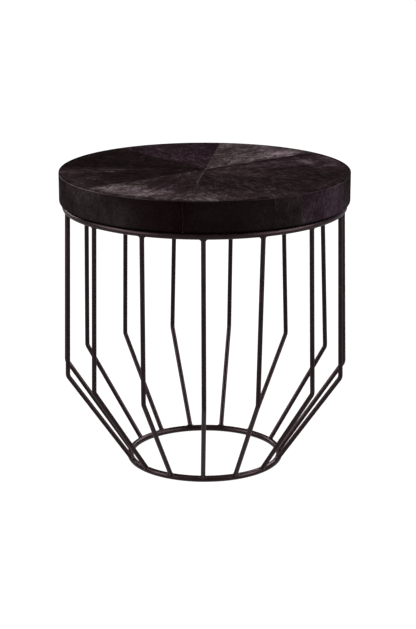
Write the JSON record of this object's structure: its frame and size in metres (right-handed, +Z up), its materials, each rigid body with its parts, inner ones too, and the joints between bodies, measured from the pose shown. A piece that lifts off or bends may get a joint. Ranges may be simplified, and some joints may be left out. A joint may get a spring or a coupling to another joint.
{
  "type": "round side table",
  "caption": "Round side table: drum top dressed in black hair-on hide wedges, on an open cage of bent black iron rods welded between an upper ring and a smaller floor ring.",
  "frame": {"origin": "on the floor under the middle of the table", "axes": "+Z up, -Y towards the viewer of the picture, +X to the right"},
  "size_m": [0.5, 0.5, 0.52],
  "materials": {
    "black_iron": "satin black-brown coating over bent and welded round bar",
    "black_hide": "dyed black hide with the short hair left on",
    "board": "plain fibreboard, cut edges",
    "liner_cloth": "thin black non-woven cloth",
    "plated_steel": "zinc plated"
  },
  "bodies": {
    "root": {"top_ring": "black_iron", "base_ring": "black_iron", "rod_01": "black_iron", "rod_02": "black_iron", "rod_03": "black_iron", "rod_04": "black_iron", "rod_05": "black_iron", "rod_06": "black_iron", "rod_07": "black_iron", "rod_08": "black_iron", "rod_09": "black_iron", "rod_10": "black_iron", "rod_11": "black_iron", "rod_12": "black_iron", "rod_13": "black_iron", "rod_14": "black_iron", "rod_15": "black_iron", "fixing_tab_1": "black_iron", "fixing_tab_2": "black_iron", "fixing_tab_3": "black_iron", "fixing_tab_4": "black_iron", "hide_wedge_1": "black_hide", "hide_wedge_2": "black_hide", "hide_wedge_3": "black_hide", "hide_wedge_4": "black_hide", "hide_wedge_5": "black_hide", "hide_wedge_6": "black_hide", "hide_wedge_7": "black_hide", "hide_wedge_8": "black_hide", "hide_band_1": "black_hide", "hide_band_2": "black_hide", "hide_band_3": "black_hide", "hide_band_4": "black_hide", "hide_band_5": "black_hide", "hide_band_6": "black_hide", "hide_band_7": "black_hide", "hide_band_8": "black_hide", "hide_band_9": "black_hide", "top_board": "board", "spacer_ring_upper": "board", "spacer_ring_lower": "board", "centre_block": "board", "bottom_board": "board", "underside_liner": "liner_cloth", "liner_staples": "plated_steel", "top_screws": "plated_steel"}
  },
  "joints": []
}
